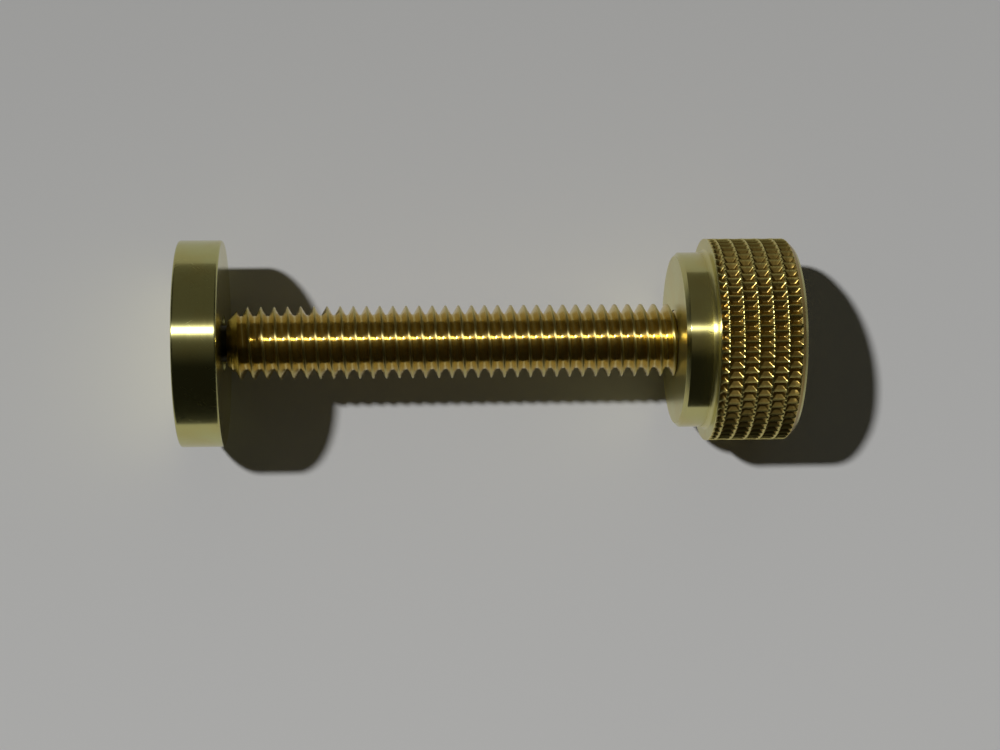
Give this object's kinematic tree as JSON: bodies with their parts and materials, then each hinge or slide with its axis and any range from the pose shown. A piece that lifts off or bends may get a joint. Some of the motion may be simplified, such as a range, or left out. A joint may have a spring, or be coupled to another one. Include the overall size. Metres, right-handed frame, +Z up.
{
  "type": "knurled thumb nut on a clamping screw",
  "caption": "Clamping screw: a knurled thumb nut with a smooth collar runs on a threaded rod that ends in a round swivel pad.",
  "frame": {"origin": "centre of the swivel pad's flat outer face, on the screw's axis", "axes": "+X along the screw from the pad to the nut, +Z up as the part lies on its side"},
  "size_m": [0.0658, 0.022, 0.022],
  "materials": {
    "rod_brass": "cut thread, bright, with fine tool marks",
    "nut_brass": "turned and polished, with a rolled knurl",
    "pad_brass": "turned and polished, with light scratches",
    "ring_wire": "drawn spring wire"
  },
  "bodies": {
    "screw": {"threaded_rod": "rod_brass"},
    "ring": {"snap_ring": "ring_wire"},
    "nut": {"knurled_nut": "nut_brass"},
    "pad": {"swivel_pad": "pad_brass"}
  },
  "joints": [
    {"name": "nut_turn", "type": "hinge", "parent": "screw", "child": "ring", "pos_m": [0, 0, 0], "axis": [-1, 0, 0], "range_deg": [-2160, 11880]},
    {"name": "nut_travel", "type": "slide", "parent": "ring", "child": "nut", "axis": [-1, 0, 0], "range_m": [-0.0085, 0.0466]},
    {"name": "pad_swivel", "type": "hinge", "parent": "screw", "child": "pad", "pos_m": [0, 0, 0], "axis": [1, 0, 0], "continuous": true}
  ],
  "couplings": [
    {"joint": "nut_travel", "follows": "nut_turn", "m_per_rad": 0.00022459}
  ]
}
